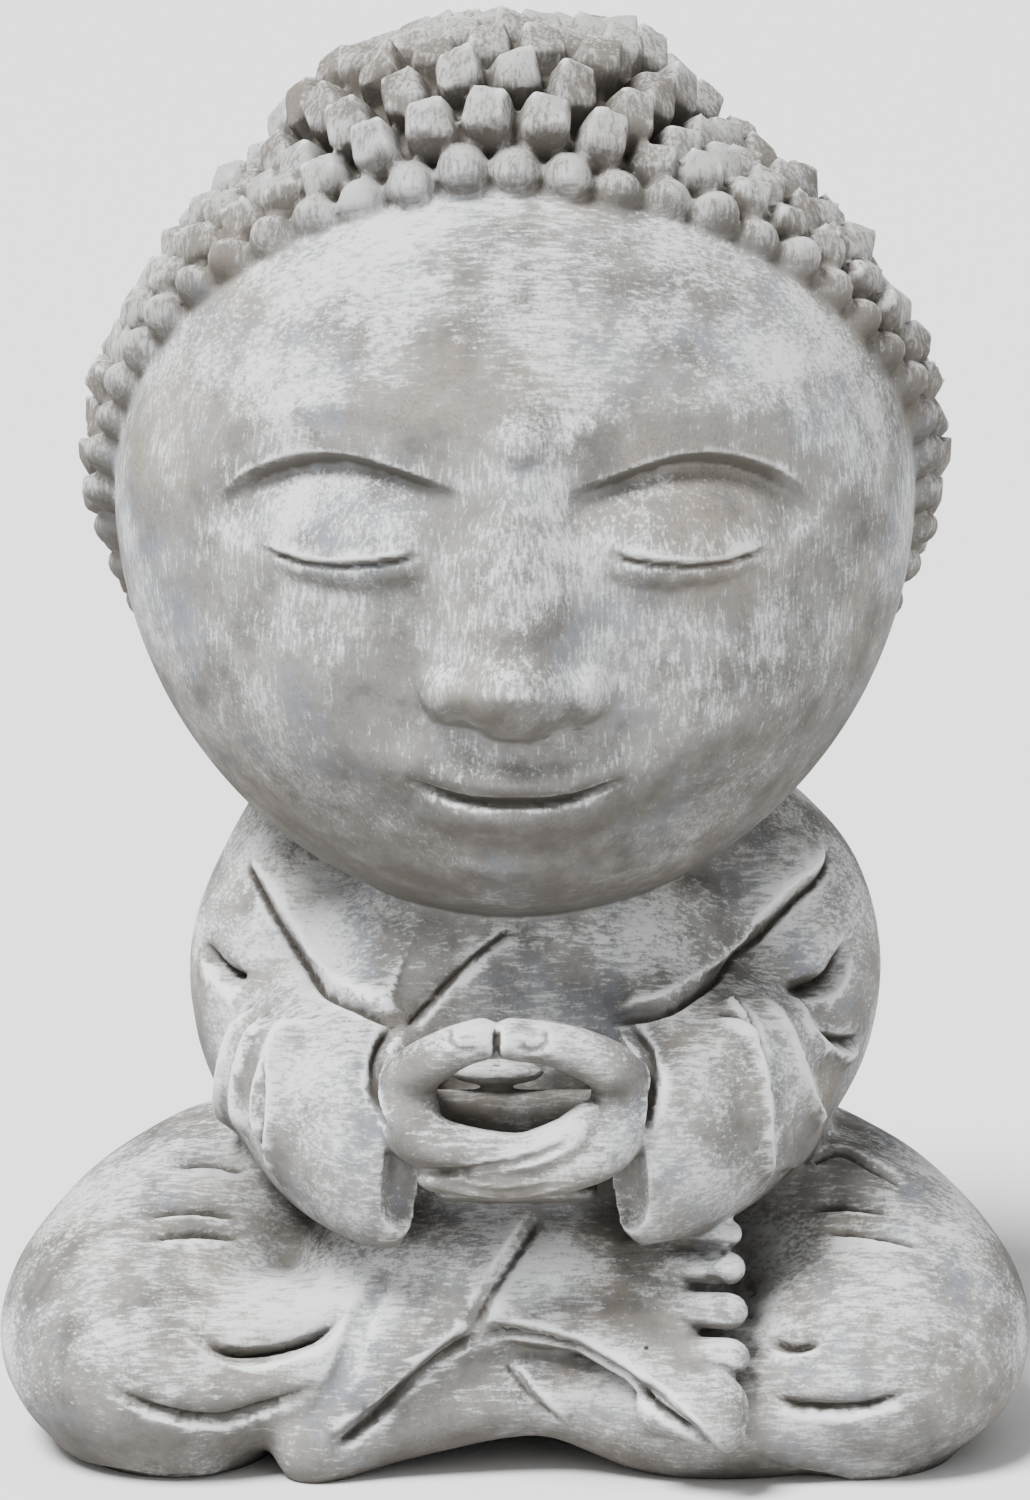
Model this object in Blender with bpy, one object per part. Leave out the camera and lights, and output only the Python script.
"""A seated monk cast in one piece of stone, with a big round head and tight knobs of hair.

The figure faces -Y, +X is the viewer's right, and it stands on z = 0. Its forms and its carving are
written in units that are a share of its height, so that they keep their proportions.
"""

import math

import bmesh
import bpy
import numpy as np
from mathutils import Matrix, Vector
from mathutils.bvhtree import BVHTree

HEIGHT = 0.400  # metres, from the underside to the highest knob of hair
DRAWN_HEIGHT = 396  # the same height in the units of every place, radius and depth below
UNIT = HEIGHT / DRAWN_HEIGHT

SOFT_VOXEL = 3.0  # grid of the first skin, over the large masses
SKIN_VOXEL = 2.2  # grid of the last skin, with hands, toes, face and hair
HEAD_DETAIL = 6  # how often the head's ball is subdivided
TRIANGLES = 4400  # of the figure without its hair

SEEN_FROM_ABOVE = math.radians(12)  # lean of the plate on which the carved lines are drawn
COVERED = 3.0  # what lies this far off the robe takes none of the robe's carving

HEAD_CENTRE = np.array([0, -5, 265.5])
HEAD_RADII = np.array([112, 102, 106])
JAW_DROP = 6.6  # how much lower than a ball's the head's lowest point lies
JAW_FORWARD = 31  # how far the head's lowest point lies before its middle
CROWN_RISE = 17.5  # of the low dome on top of the head
CROWN_MIDDLE = np.array([-6, 0])
CROWN_REACH = 64  # from the dome's middle to its foot
CROWN_SLOPE = 26  # the breadth of the dome's sloping side
HAIRLINE_LEAN = math.radians(32)  # of the hair's axis, which points up and back
HAIRLINE_REACH = -0.005  # how far along that axis, in head radii, the hair begins
NAPE_Z = 214  # the lowest hair, at the back
HAIR_AXIS = np.array([0, math.cos(HAIRLINE_LEAN), math.sin(HAIRLINE_LEAN)])
ACROSS = np.array([1, 0, 0])

KNOB_WIDTH = 14.3
KNOB_HEIGHT = 10.0
KNOB_ROW = 14.2  # from one row of knobs to the next
KNOB_TOP = 0.62  # of a knob's flat top, as a share of its place in the row
VALLEY = 1.0  # how far the gaps between knobs lie outside the bare head
INSIDE = 0.85  # the hair's solid under the face, as a share of the head

# The face is laid out by the drawing books: three equal thirds, and five eyes across.
FACE_TOP = 355  # the hairline over the brow
CHIN = 153
FACE_THIRD = (FACE_TOP - CHIN) / 3
BROW = FACE_TOP - FACE_THIRD
NOSE_BASE = CHIN + FACE_THIRD
EYE_LINE = (CHIN + HEAD_CENTRE[2] + HEAD_RADII[2] + CROWN_RISE) / 2  # halfway up the head
EYE = 2 * HEAD_RADII[0] / 5  # the width of an eye, and its distance from the middle
MOUTH = NOSE_BASE - FACE_THIRD / 3
SIDES = (-1, 1)


def clear_scene():
    for thing in list(bpy.data.objects):
        bpy.data.objects.remove(thing)


def stone():
    material = bpy.data.materials.new("cast_stone")
    material.use_nodes = True
    shader = material.node_tree.nodes["Principled BSDF"]
    shader.inputs["Base Color"].default_value = (0.52, 0.51, 0.50, 1)
    shader.inputs["Roughness"].default_value = 0.9
    shader.inputs["Metallic"].default_value = 0.0
    return material


def smooth_path(points, steps):
    """Rows on a smooth curve through the given rows, which may carry radii behind their places."""
    row = np.array(points, float)
    row = np.vstack([2 * row[0] - row[1], row, 2 * row[-1] - row[-2]])
    made = []
    for a, b, c, d in zip(row, row[1:], row[2:], row[3:]):
        for t in np.arange(steps) / steps:
            bend = (2 * a - 5 * b + 4 * c - d) * t + (3 * b - a - 3 * c + d) * t * t
            made.append(b + (c - a + bend) * t / 2)
    made.append(row[-2])
    return np.array(made)


def blob(clay, x, y, z, rx, ry, rz, turn=0.0, detail=3):
    """An ellipsoid, turned in the front view by some degrees."""
    place = Matrix.Translation((x, y, z)) @ Matrix.Rotation(math.radians(turn), 4, "Y")
    place = Matrix.Scale(UNIT, 4) @ place @ Matrix.Diagonal((rx, ry, rz, 1))
    bmesh.ops.create_icosphere(clay, subdivisions=detail, radius=1, matrix=place)


def hull(clay, blobs, detail=2):
    """The tightest skin round several ellipsoids, added to the clay."""
    tight = bmesh.new()
    for place in blobs:
        blob(tight, *place, detail=detail)
    bmesh.ops.delete(tight, geom=tight.edges[:], context="EDGES_FACES")
    bmesh.ops.convex_hull(tight, input=tight.verts[:])
    inner = [v for v in tight.verts if not v.link_faces]
    bmesh.ops.delete(tight, geom=inner, context="VERTS")
    add_to(clay, tight)


def add_to(clay, other):
    """Moves one bmesh into another."""
    mesh = bpy.data.meshes.new("lump")
    other.to_mesh(mesh)
    other.free()
    clay.from_mesh(mesh)
    bpy.data.meshes.remove(mesh)


def limb(clay, stations, steps=4):
    """A bent, tapering form: hulls from each ellipsoid of the row to the next."""
    rings = smooth_path(stations, steps)
    for here, there in zip(rings, rings[1:]):
        hull(clay, [here, there])


def mesh_with(mesh, kind, **settings):
    """A new mesh: the given one after a modifier."""
    thing = bpy.data.objects.new("clay", mesh)
    bpy.context.scene.collection.objects.link(thing)
    modifier = thing.modifiers.new(kind, kind)
    for name, value in settings.items():
        setattr(modifier, name, value)
    graph = bpy.context.evaluated_depsgraph_get()
    made = bpy.data.meshes.new_from_object(thing.evaluated_get(graph))
    bpy.data.objects.remove(thing)
    bpy.data.meshes.remove(mesh)
    return made


def fuse(mesh, voxel, settling):
    """One closed skin over forms that overlap, and its creases settled by smoothing."""
    mesh = mesh_with(mesh, "REMESH", mode="VOXEL", voxel_size=voxel * UNIT)
    return mesh_with(mesh, "SMOOTH", factor=0.5, iterations=settling)


def places(mesh):
    """Where the mesh's vertices are, in units."""
    co = np.empty(len(mesh.vertices) * 3, np.float32)
    mesh.vertices.foreach_get("co", co)
    return co.reshape(-1, 3).astype(float) / UNIT


def normals(mesh):
    out = np.empty(len(mesh.vertices) * 3, np.float32)
    mesh.vertex_normals.foreach_get("vector", out)
    return out.reshape(-1, 3).astype(float)


def put(mesh, co):
    mesh.vertices.foreach_set("co", (co * UNIT).astype(np.float32).ravel())
    mesh.update()


def ease(t):
    """0 below 0, 1 above 1, and smooth between."""
    t = np.clip(t, 0, 1)
    return t * t * (3 - 2 * t)


def legs(clay):
    """Crossed legs under a robe that spreads on the ground: the viewer's left shin lies on top."""
    for side in SIDES:
        limb(clay, [
            (side * 37, 38, 42, 44, 44, 43), (side * 77, 8, 42, 47, 48, 43),
            (side * 102, -30, 33, 44, 44, 38), (side * 97, -51, 26, 46, 42, 30),
        ])
        limb(clay, [
            (side * 30, 46, 12, 44, 40, 24), (side * 84, 8, 12, 40, 42, 24), (side * 95, -46, 12, 32, 38, 24),
        ])
    limb(clay, [
        (88, -56, 22, 38, 34, 25), (50, -66, 18, 28, 24, 22), (10, -60, 23, 22, 22, 15),
        (-34, -67, 17, 20, 17, 15), (-56, -76, 10, 12, 12, 14),
    ])
    limb(clay, [
        (-88, -54, 28, 38, 34, 26), (-52, -68, 33, 24, 20, 21),
        (-20, -68, 42, 18, 16, 15), (2, -66, 48, 14, 12, 12),
    ])
    blob(clay, 0, 20, 36, 88, 58, 50)
    blob(clay, 0, -42, 52, 62, 40, 28)


def trunk(clay):
    """Back, belly, chest and the neck that the chin hides."""
    blob(clay, 4, 12, 112, 66, 54, 80)
    blob(clay, 2, -26, 100, 52, 46, 48)
    blob(clay, 4, -18, 142, 62, 50, 34)
    blob(clay, 4, 2, 168, 66, 48, 26)


def arms(clay):
    """Upper arms, and sleeves that hang from the forearms down to the lap."""
    limb(clay, [
        (-50, 8, 168, 27, 32, 20), (-57, 5, 150, 29, 36, 26), (-62, 0, 132, 31, 37, 28),
        (-61, -4, 112, 30, 36, 28), (-56, -6, 94, 26, 34, 24),
    ])
    limb(clay, [
        (60, 8, 164, 28, 32, 20), (69, 5, 148, 31, 36, 26), (73, 0, 130, 32, 37, 28),
        (72, -4, 112, 30, 36, 28), (66, -6, 95, 27, 34, 24),
    ])
    limb(clay, [(-60, -22, 103, 24, 26, 30), (-55, -54, 102, 19, 22, 32),
                (-44, -78, 97, 13, 13, 29), (-34, -86, 93, 9, 9, 26)])
    limb(clay, [(68, -22, 103, 24, 26, 30), (61, -54, 103, 19, 22, 32),
                (47, -78, 98, 14, 13, 29), (35, -86, 94, 10, 9, 26)])
    for side in SIDES:
        blob(clay, side * 41, -62, 118, 21, 19, 17)


def foot(clay):
    """The sole that lies on the viewer's right thigh, with its toes in a row."""
    instep = [(-4, -68, 53, 8, 8, 8), (43, -68, 61, 6, 7, 8)]
    edge = [(-6, -73, 46, 8, 7, 7), (20, -80, 44, 7, 7, 7), (35, -87, 37, 7, 7, 7), (46, -92, 27, 7, 7, 8)]
    hull(clay, edge[:2] + instep, detail=3)
    for near, far in zip(edge[1:], edge[2:]):
        hull(clay, [near, far, instep[1]], detail=3)
    for y, z, r in ((-73, 69, 4.4), (-78, 60.5, 5.3), (-84, 50, 5.8), (-90, 38.5, 6.2)):
        hull(clay, [(45, y + 3, z, r, r, r * 0.8), (58.5, y, z, r, r, r * 0.88)])
    hull(clay, [(42, -91, 25, 9, 8, 9), (55, -95, 25, 9.5, 8.5, 10.5)])


def hands(clay):
    """Hands laid one in the other with the thumb tips touching over them."""
    limb(clay, [(-31, -82, 109, 8, 9, 13), (-29, -91, 108, 8.5, 9, 12), (-23, -97, 102, 7, 8, 7.5),
                (0, -100, 99.5, 8, 8, 5.4), (14, -99, 104, 6.5, 7, 5), (20, -97, 109, 4.5, 5, 4.5)])
    limb(clay, [(29, -82, 108, 8, 9, 13), (28, -91, 107, 8.5, 9, 13), (20, -97, 97, 8, 8, 7),
                (0, -99, 91.5, 9, 7, 5.4), (-20, -97, 92, 7, 6, 4.2)])
    limb(clay, [(-29, -88, 115, 8, 8, 8), (-26, -95, 122, 7, 7, 7), (-16, -99, 129, 6.3, 6.3, 6),
                (-9, -100, 131.5, 6, 6, 5.8)])
    limb(clay, [(29, -88, 115, 8, 8, 8.5), (25, -96, 123, 7.4, 7.5, 7.2), (12, -99, 129.5, 6.6, 6.5, 6.2),
                (-1, -100, 131.5, 6, 6, 5.8)])
    hull(clay, [(-28, -80, 102, 7, 8, 10), (28, -80, 102, 7, 8, 10), (0, -78, 94, 12, 8, 8)])
    blob(clay, -5, -80, 117, 13, 5, 3.6)
    hull(clay, [(-19, -68, 80, 4, 5.5, 3), (19, -68, 80, 4, 5.5, 3)])


def bump(apart, sharp=1.0):
    """1 in the middle, 0 from an apart of 1 on; the lower the power, the fuller the bump."""
    return np.clip(1 - apart, 0, 1) ** sharp


def face_relief(x, z):
    """How far each place of the front view stands out from the bare head: a calm, general face."""
    tip = NOSE_BASE + 9
    down = np.clip((BROW - 2 - z) / (BROW - 2 - tip), 0, 1)
    ridge = (4 + 10 * down ** 1.2) * bump((x / (10 + 6 * down)) ** 2, 0.9)
    ridge = ridge * ease((BROW + 10 - z) / 20) * ease((z - tip + 6) / 8)
    ball = 17 * bump((x / 14.5) ** 2 + ((z - tip) / 11.5) ** 2, 0.6)
    wings = 10 * bump(((np.abs(x) - 15.5) / 9) ** 2 + ((z - NOSE_BASE - 6) / 8) ** 2, 0.7)
    out = (ridge ** 4 + ball ** 4 + wings ** 4) ** 0.25
    for side in SIDES:
        aside = x * side
        out = out - 5.5 * bump(((aside - EYE) / 42) ** 2 + ((z - EYE_LINE - 9) / 22) ** 2)
        out = out + 7.5 * bump(((aside - EYE) / 29) ** 2 + ((z - EYE_LINE + 1) / 15) ** 2)
        out = out + 4.5 * bump(((aside - 56) / 46) ** 2 + ((z - MOUTH - 20) / 36) ** 2, 1.5)
    out = out + 4 * bump((x / 44) ** 2 + ((z - MOUTH) / 27) ** 2, 1.5)
    curve = 4 * (x / 30) ** 2
    out = out + 3.6 * bump((x / 31) ** 2, 0.8) * bump(((z - MOUTH - 4.5 - curve) / 5.5) ** 2)
    out = out + 4.6 * bump((x / 27) ** 2, 0.8) * bump(((z - MOUTH + 6 - curve) / 7) ** 2)
    out = out + 5 * bump((x / 28) ** 2 + ((z - CHIN - 19) / 20) ** 2, 1.5)
    return out + 4.5 * bump(((x - 1) / 7.8) ** 2 + ((z - BROW - 8) / 6.4) ** 2, 0.6)


def on_head(way):
    """The place on the head's skin, before the face, in a direction given in head radii."""
    place = HEAD_CENTRE + np.asarray(way) * HEAD_RADII
    apart = np.linalg.norm(place[..., :2] - CROWN_MIDDLE, axis=-1)
    low = np.maximum(-np.asarray(way)[..., 2], 0)
    dome = CROWN_RISE * ease((CROWN_REACH - apart) / CROWN_SLOPE) * (low == 0)
    place[..., 2] += dome - JAW_DROP * low
    place[..., 1] -= JAW_FORWARD * low ** 2.2
    return place


def head(clay):
    """The head with its face, as yet without hair."""
    ball = bmesh.new()
    bmesh.ops.create_icosphere(ball, subdivisions=HEAD_DETAIL, radius=1)
    way = np.array([v.co for v in ball.verts])
    place = on_head(way)
    place[:, 1] -= face_relief(place[:, 0], place[:, 2]) * (way[:, 1] < 0)
    for vertex, spot in zip(ball.verts, place):
        vertex.co = spot * UNIT
    add_to(clay, ball)


def brow_to_crown():
    """Tilts from the hair's axis, from the hairline inwards, and the lengths up the brow to each."""
    tilts = np.linspace(math.acos(HAIRLINE_REACH), 0, 400)
    forward = np.cross(ACROSS, HAIR_AXIS)
    middle = on_head(HAIR_AXIS * np.cos(tilts)[:, None] + forward * np.sin(tilts)[:, None])
    steps = np.linalg.norm(np.diff(middle, axis=0), axis=1)
    return tilts, np.concatenate([[0], np.cumsum(steps)])


def hair_rows():
    """Where each knob sits: its row, half its width and half its row in radians, and its direction in head radii.

    The rows ring the hair's axis, and lie evenly up the middle of the brow and over the crown.
    """
    tilts, lengths = brow_to_crown()
    forward = np.cross(ACROSS, HAIR_AXIS)
    for row in range(int(lengths[-1] / KNOB_ROW + 0.5)):
        outer, tilt, inner = np.interp(KNOB_ROW * (row + np.array([0, 0.5, 1])), lengths, tilts)
        count = max(1, round(2 * math.pi * math.sin(tilt) * HEAD_RADII.mean() / KNOB_WIDTH))
        half_gap = math.pi / count * math.sin(tilt)
        for k in range(count):
            turn = 2 * math.pi * (k + 0.5 * (row % 2)) / count
            ring = ACROSS * math.sin(turn) + forward * math.cos(turn)
            way = HAIR_AXIS * math.cos(tilt) + ring * math.sin(tilt)
            yield row, half_gap, (outer - inner) / 2, way


def hair():
    """A solid whose skin is the rows of knobs, and that lies inside the head everywhere else."""
    skin = {}

    def point(way, height):
        """A point over the head's skin in this direction; of two in one direction, the first stays."""
        way = way / np.linalg.norm(way)
        skin.setdefault(tuple(np.round(way, 3)), (way, height))

    for row, half_gap, half_row, way in hair_rows():
        if on_head(way)[2] < NAPE_Z:
            continue
        along = np.cross(HAIR_AXIS, way)
        along = along / max(np.linalg.norm(along), 1e-6)
        inward = np.cross(way, along)
        high = KNOB_HEIGHT * (1.0 if row else 0.8)
        for x, y in ((-1, -1), (1, -1), (1, 1), (-1, 1)):
            point(way + KNOB_TOP * (x * half_gap * along + y * half_row * inward), high)
        for share in (-KNOB_TOP, KNOB_TOP):
            point(way + half_gap * along + share * half_row * inward, VALLEY)
            point(way + share * half_gap * along + half_row * inward, VALLEY)
        if row == 0:
            for share in (-KNOB_TOP, KNOB_TOP):
                point(way + share * half_gap * along - half_row * inward, -1)
            point(way - 2.4 * half_row * inward, None)
    ball = bmesh.new()
    bmesh.ops.create_icosphere(ball, subdivisions=2, radius=1)
    for vertex in ball.verts:
        way = np.array(vertex.co)
        if way @ HAIR_AXIS < HAIRLINE_REACH - 0.1 or on_head(way)[2] < NAPE_Z - 10:
            point(way, None)
    ball.free()
    tilts, lengths = brow_to_crown()
    evened = tilts[0] * (1 - lengths / lengths[-1])
    made = bmesh.new()
    corners = []
    for way, _ in skin.values():
        # The faces are found with the rows evened out, so that each knob keeps its own four sides.
        tilt = math.acos(max(-1, min(1, way @ HAIR_AXIS)))
        even = tilt if tilt > tilts[0] else np.interp(-tilt, -tilts, evened)
        aside = way - (way @ HAIR_AXIS) * HAIR_AXIS
        aside = aside / max(np.linalg.norm(aside), 1e-9)
        corners.append(made.verts.new(HAIR_AXIS * math.cos(even) + aside * math.sin(even)))
    bmesh.ops.convex_hull(made, input=corners)
    for vertex, (way, height) in zip(corners, skin.values()):
        place = on_head(way)
        if height is None:
            place = HEAD_CENTRE + (place - HEAD_CENTRE) * INSIDE
        else:
            out = way / HEAD_RADII
            place = place + out / np.linalg.norm(out) * height
        vertex.co = place * UNIT
    mesh = bpy.data.meshes.new("hair")
    made.to_mesh(mesh)
    made.free()
    return mesh


def ears(clay):
    """Low, long ears behind the cheeks, where the front view doesn't reach them."""
    for side in SIDES:
        limb(clay, [(side * 98, 16, 250, 6, 9, 8), (side * 98, 19, 236, 6, 9, 10),
                    (side * 92, 16, 218, 6, 6, 10)])


def tree_of(mesh):
    """A form that rays can be cast on."""
    shape = bmesh.new()
    shape.from_mesh(mesh)
    tree = BVHTree.FromBMesh(shape)
    shape.free()
    return tree


def laid_on(tree, points, side):
    """The drawing's points pushed onto a form, from the front or, with side 1, from behind."""
    lean = SEEN_FROM_ABOVE if side < 0 else 0.0
    plate_up = Vector((0, math.sin(lean), math.cos(lean)))
    push = Vector((0, -side * math.cos(lean), -math.sin(lean)))
    found = []
    for across, up in points:
        on_plate = (Vector((across, 0, 0)) + plate_up * up) * UNIT
        hit = tree.ray_cast(on_plate - push * 900 * UNIT, push)[0]
        found.append((hit or tree.find_nearest(on_plate)[0]) / UNIT)
    return np.array(found)


def nearness(mesh, tree):
    """1 where the mesh lies on the tree's form, and 0 where something else covers it."""
    gaps = [tree.find_nearest(vertex.co)[3] / UNIT for vertex in mesh.vertices]
    return ease(COVERED - np.array(gaps))


def stroke(mesh, tree, drawn, cut=0.0, width=2.0, lap=0.0, spread=14.0, ends=0.25, side=-1, edge=1.4, share=None):
    """Carves along a line drawn on the tree's form: a groove of that cut and width, and on the line's left a raised lap.

    A lap below zero sinks the skin on the left instead, which leaves a sharp lip along the line. The
    share says how much each vertex takes part.
    """
    laid = [tree.find_nearest(Vector(spot) * UNIT) for spot in smooth_path(laid_on(tree, drawn, side), 5)]
    path = np.array([place for place, _, _, _ in laid]) / UNIT
    walls = np.array([wall for _, wall, _, _ in laid])
    co, facing = places(mesh), normals(mesh)
    reach = max(2.5 * width, 3.2 * spread if lap else 0)
    low, high = path.min(0) - reach, path.max(0) + reach
    near = np.flatnonzero(((co > low) & (co < high)).all(1) & (facing[:, 1] * side > -0.35))
    spot, out = co[near], facing[near]
    steps = np.linalg.norm(np.diff(path, axis=0), axis=1)
    start = np.concatenate([[0], np.cumsum(steps)])
    best = np.full(len(near), 1e9)
    signed, along, agreed = np.zeros((3, len(near)))
    for a, b, length, began, wall in zip(path, path[1:], steps, start, walls):
        way = (b - a) / max(length, 1e-9)
        t = np.clip((spot - a) @ way, 0, length)
        gap = spot - (a + t[:, None] * way)
        distance = np.linalg.norm(gap, axis=1)
        closer = distance < best
        turn = np.einsum("ij,ij->i", np.cross(way, gap), out)
        best = np.where(closer, distance, best)
        signed = np.where(closer, np.where(turn >= 0, distance, -distance), signed)
        along = np.where(closer, (began + t) / start[-1], along)
        agreed = np.where(closer, out @ wall, agreed)
    fade = ease(np.minimum(along, 1 - along) / max(ends, 1e-6)) * ease(agreed / 0.5)
    over = ease((signed + edge) / (2 * edge))
    raised = lap * over * np.exp(-((np.maximum(signed, 0) / spread) ** 2)) if lap else 0.0
    bounded = ease((reach - best) / (0.3 * reach))
    sunk = cut * np.exp(-((signed / width) ** 4))
    if share is not None:
        fade = fade * share[near]
    co[near] += out * ((raised - sunk) * fade * bounded)[:, None]
    put(mesh, co)


def dent(mesh, x, y, z, rx, ry, rz, push, sharp=1.0):
    """Pushes in the part of the skin that lies in an ellipsoid."""
    co = places(mesh)
    apart = (((co - (x, y, z)) / (rx, ry, rz)) ** 2).sum(1)
    co += np.clip(1 - apart, 0, 1)[:, None] ** sharp * np.array(push)
    put(mesh, co)


def carve_face(mesh, tree):
    """Brow arcs, closed lids and the line between the lips."""
    lean = SEEN_FROM_ABOVE
    forward = -HEAD_CENTRE[1] + HEAD_RADII[1] - 6  # of the face, where the lines fall on it

    def drawn(*points):
        """Places by the face's own heights, as the leaning plate shows them."""
        return [(x, z * math.cos(lean) - forward * math.sin(lean)) for x, z in points]

    for side in SIDES:
        arc = drawn((side * 9, EYE_LINE + 4), (side * 16, BROW - 6), (side * EYE, BROW + 5),
                    (side * EYE * 1.5, BROW + 1), (side * EYE * 1.9, BROW - 13))
        stroke(mesh, tree, arc[::side], lap=2.6, spread=11, ends=0.35, edge=2)
        lid = drawn((side * EYE * 0.5, EYE_LINE - 5), (side * EYE * 0.8, EYE_LINE - 8.5),
                    (side * EYE * 1.2, EYE_LINE - 8.5), (side * EYE * 1.55, EYE_LINE - 3))
        stroke(mesh, tree, lid[::side], cut=1.6, width=1.2, lap=1.2, spread=4, ends=0.2, edge=0.8)
    mouth = drawn((-EYE * 0.68, MOUTH + 6), (-EYE * 0.35, MOUTH + 0.6), (0, MOUTH - 0.8),
                  (EYE * 0.35, MOUTH + 0.6), (EYE * 0.68, MOUTH + 6))
    stroke(mesh, tree, mouth, cut=2.6, width=1.5, ends=0.12)


COLLAR = dict(cut=2.4, width=1.9, lap=4.5, spread=18, ends=0.12)
FOLD = dict(cut=2.4, width=1.8, lap=3.4, spread=6, ends=0.22)
GASH = dict(cut=3.0, width=2.2, lap=-3.0, spread=5, ends=0.35)
LIP = dict(cut=1.8, width=1.5, lap=-1.8, spread=3.5, ends=0.35)
HEM = dict(cut=0.8, width=1.4, lap=1.8, spread=9, ends=0.2)
UNDERCUT = dict(cut=3.5, width=3.0, lap=3.0, spread=9, ends=0.12)


def carve_robe(mesh, tree):
    """Shawl collar, sleeve folds and the creases on the legs, as they lie in the front view."""
    share = nearness(mesh, tree)

    def carve(*drawn, side=-1, **kind):
        stroke(mesh, tree, drawn, side=side, share=share, **kind)

    # The collar's edges down to the hands, and its overlap at the chest.
    carve((-76, 157), (-70, 146), (-58, 127), (-50, 118), (-38, 113), (-28, 110), **COLLAR)
    carve((22, 111), (40, 114), (51, 120), (67, 134), (77, 144), (86, 152), (88, 161), **COLLAR)
    carve((0, 137), (-15, 125), (-30, 109), cut=1.6, width=1.3, lap=1.6, spread=10, ends=0.1)
    # Gashes over the elbows.
    carve((-89, 132), (-86, 126), (-81, 122), (-73, 122), **GASH)
    carve((73, 121), (82, 119), (90, 122), (95, 134), **GASH)
    # Folds from the elbows down the sleeves, and the broad panel in front of them.
    for fold in (
        [(-71, 117), (-79, 105), (-82, 93), (-80, 80)],
        [(-67, 114), (-75, 101), (-77, 88), (-74, 76)],
        [(-59, 114), (-68, 102), (-71, 90), (-69, 74)],
        [(-51, 114), (-62, 108), (-66, 98), (-67, 84), (-66, 66)],
        [(70, 66), (70, 80), (69, 96), (64, 108), (52, 114)],
        [(68, 104), (65, 110), (60, 117)],
        [(86, 83), (81, 93), (75, 109), (68, 119)],
        [(98, 104), (89, 104), (81, 109), (76, 119)],
    ):
        carve(*fold, **FOLD)
    # Creases and gashes on the thighs.
    carve((-107, 55), (-90, 57), (-74, 54), **LIP)
    carve((-106, 49), (-90, 51), (-73, 48), **LIP)
    carve((-97, 68), (-86, 69), (-75, 66), **LIP)
    carve((81, 57), (94, 58), (107, 56), **LIP)
    carve((83, 51), (99, 51), (117, 46), **LIP)
    carve((-90, 27), (-82, 21), (-72, 19), (-57, 23), (-44, 32), **GASH)
    carve((-117, 14), (-99, 4), (-79, 1), (-64, 6), (-51, 13), **LIP)
    carve((70, 23), (76, 21), (85, 23), **GASH)
    carve((68, 9), (78, 5), (89, 4), (101, 6), (112, 11), **GASH)
    # The robe's edges: over the far thigh, round the knees and under the foot.
    carve((71, 69), (88, 71), (102, 67), (115, 59), **HEM)
    carve((-138, -1), (-121, -11), (-100, -14), (-71, -11), **HEM)
    carve((63, -5), (76, -12), (93, -16), (115, -15), (135, -4), **HEM)
    carve((-3, 18), (4, 9), (15, -1), **HEM)
    # The collar behind the neck, and a few plain folds down the back.
    carve((87, 166), (62, 148), (4, 140), (-54, 148), (-76, 163), side=1, **COLLAR)
    for fold in (
        [(52, 138), (66, 96), (54, 44)], [(20, 134), (24, 84), (14, 30)],
        [(-40, 44), (-52, 96), (-40, 138)], [(-12, 60), (-18, 96), (-10, 128)],
    ):
        carve(*fold, side=1, **FOLD)
    carve((108, 16), (56, 10), (0, 9), (-56, 10), (-108, 16), side=1, **HEM)
    # The long fold beside the near knee, and the one down the middle of the lap.
    carve((-53, 4), (-47, 16), (-42, 31), (-36, 46), cut=1.5, width=2.5, lap=2.6, spread=9, ends=0.2)
    carve((-13, 24), (-8, 35), (-1, 46), (8, 59), cut=2.2, width=2.6, lap=1.6, spread=7, ends=0.2)


def carve_hands(mesh, tree):
    """The hollow of the sole and its lower edge, the toes, and the lines between fingers and thumbs."""
    dent(mesh, 18, -86, 44, 26, 16, 18, (0, 2.5, -1))
    stroke(mesh, tree, [(-51, -7), (-39, 3), (-28, 13), (-18, 21), (-9, 26)], **UNDERCUT)
    stroke(mesh, tree, [(-11, 25), (0, 25), (10, 23), (21, 19), (35, 11), (49, 0), (60, -5)], **UNDERCUT)
    for level in (47, 39, 31, 17):
        stroke(mesh, tree, [(49, level + 1), (57, level), (65, level - 1)], cut=1.8, width=1.3, ends=0.1)
    stroke(mesh, tree, [(50, 50), (51, 40), (52, 28), (50, 17)], cut=1.2, width=1.2, ends=0.15)
    stroke(mesh, tree, [(-5, 114), (-5, 108), (-5, 101)], cut=2.0, width=1.2, ends=0.05)
    stroke(mesh, tree, [(-26, 72), (-15, 72), (-1, 74), (12, 79), (17, 84)], cut=1.8, width=1.3, ends=0.2)
    stroke(mesh, tree, [(-24, 70), (-13, 67), (1, 66), (18, 71)], cut=1, width=1.2, ends=0.3)
    stroke(mesh, tree, [(-17, 111), (-17, 107), (-13, 105), (-10, 106)], cut=1, width=0.9, ends=0.15)
    stroke(mesh, tree, [(1, 107), (4, 105), (8, 107), (8, 111)], cut=1, width=0.9, ends=0.15)


def combine(mesh, other, operation):
    """The first mesh and the second as one solid, or the first less the second."""
    tool = bpy.data.objects.new("tool", other)
    bpy.context.scene.collection.objects.link(tool)
    mesh = mesh_with(mesh, "BOOLEAN", operation=operation, solver="EXACT", object=tool)
    bpy.data.objects.remove(tool)
    bpy.data.meshes.remove(other)
    return mesh


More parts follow.
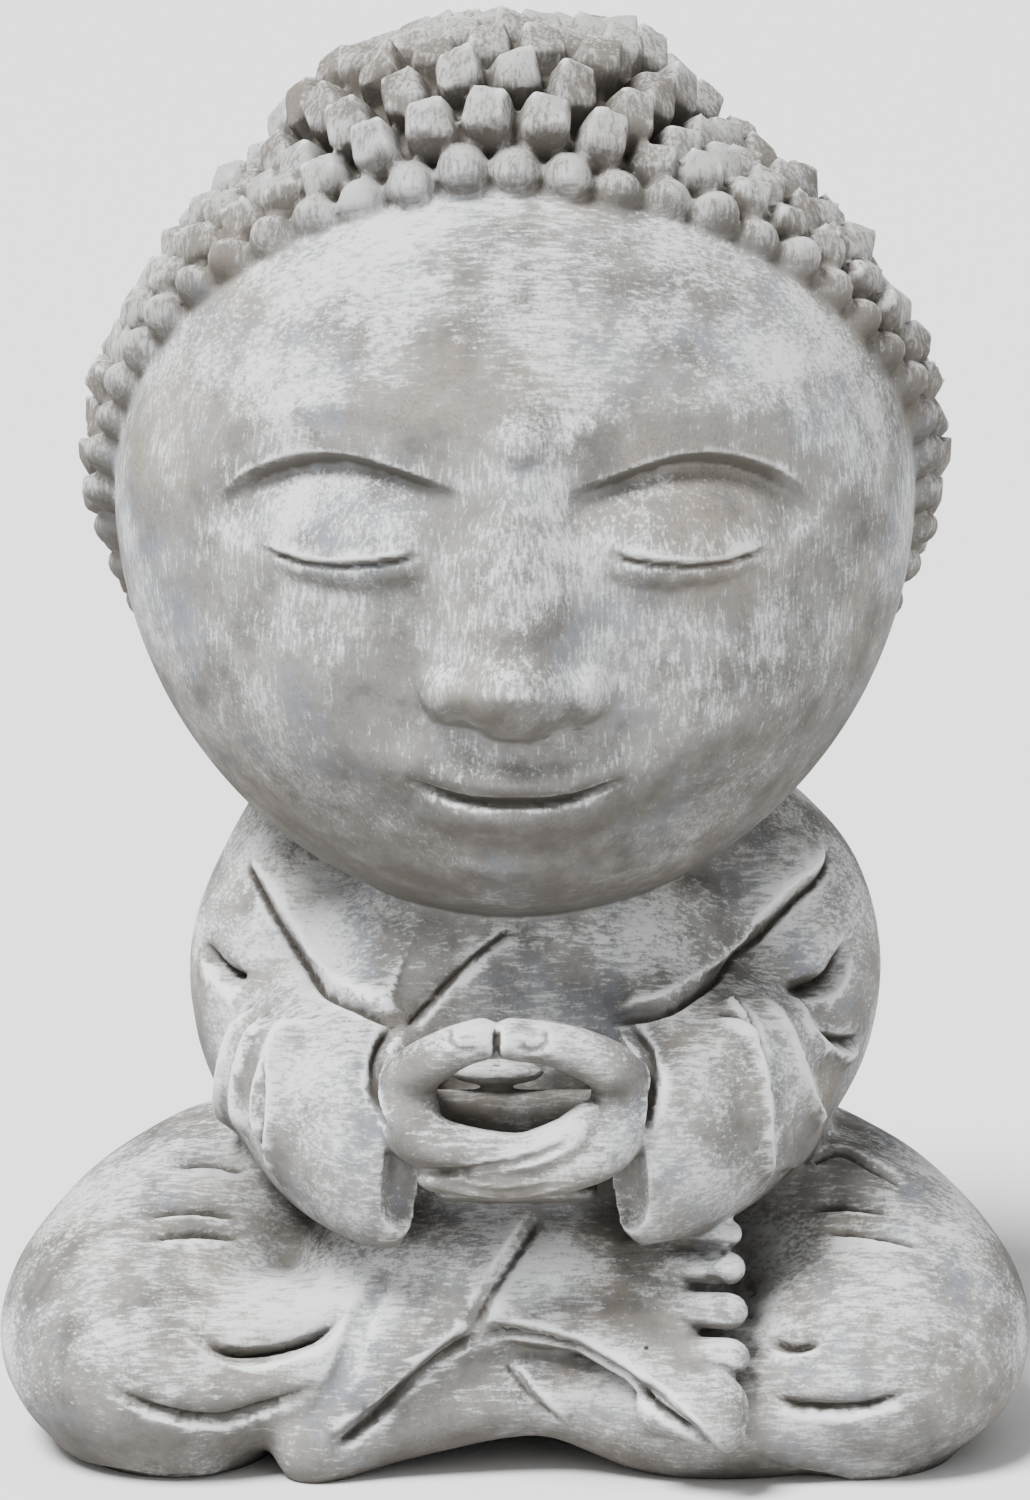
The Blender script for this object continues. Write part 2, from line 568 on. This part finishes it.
def sleeve_mouth(side):
    """The hollow of a sleeve's end, under the hand that comes out of it."""
    hollow = bmesh.new()
    hull(hollow, [(side * 28, -97, 98, 8, 15, 13), (side * 29, -97, 84, 8, 14, 12)], detail=3)
    mesh = bpy.data.meshes.new("hollow")
    hollow.to_mesh(mesh)
    hollow.free()
    return mesh


def sculpt():
    """The whole figure but for its hair, as one closed skin with its creases carved."""
    masses = bmesh.new()
    for form in (legs, trunk, arms):
        form(masses)
    mesh = bpy.data.meshes.new("masses")
    masses.to_mesh(mesh)
    masses.free()
    mesh = fuse(mesh, SOFT_VOXEL, settling=8)
    robe = tree_of(mesh)
    for side in SIDES:
        mesh = combine(mesh, sleeve_mouth(side), "DIFFERENCE")
    clay = bmesh.new()
    clay.from_mesh(mesh)
    for form in (foot, hands, ears, head):
        form(clay)
    clay.to_mesh(mesh)
    clay.free()
    mesh = fuse(mesh, SKIN_VOXEL, settling=2)
    carve_robe(mesh, robe)
    whole = tree_of(mesh)
    carve_hands(mesh, whole)
    carve_face(mesh, whole)
    mesh.calc_loop_triangles()
    return mesh_with(mesh, "DECIMATE", ratio=TRIANGLES / len(mesh.loop_triangles))


def stand(mesh):
    """Cuts the underside flat, centres the box over the origin and makes the height exact."""
    clay = bmesh.new()
    clay.from_mesh(mesh)
    cut = bmesh.ops.bisect_plane(
        clay, geom=clay.verts[:] + clay.edges[:] + clay.faces[:], dist=1e-6,
        plane_co=(0, 0, 0), plane_no=(0, 0, 1), clear_inner=True)
    rim = [g for g in cut["geom_cut"] if isinstance(g, bmesh.types.BMEdge)]
    bmesh.ops.holes_fill(clay, edges=rim, sides=0)
    bmesh.ops.triangulate(clay, faces=clay.faces[:])
    clay.to_mesh(mesh)
    clay.free()
    co = places(mesh)
    middle = (co.min(0) + co.max(0)) / 2
    put(mesh, (co - (middle[0], middle[1], 0)) * DRAWN_HEIGHT / co[:, 2].max())


def main():
    clear_scene()
    mesh = combine(sculpt(), hair(), "UNION")
    stand(mesh)
    mesh.name = "monk_statue"
    mesh.materials.append(stone())
    statue = bpy.data.objects.new("monk_statue", mesh)
    bpy.context.scene.collection.objects.link(statue)


if __name__ == "__main__":
    main()
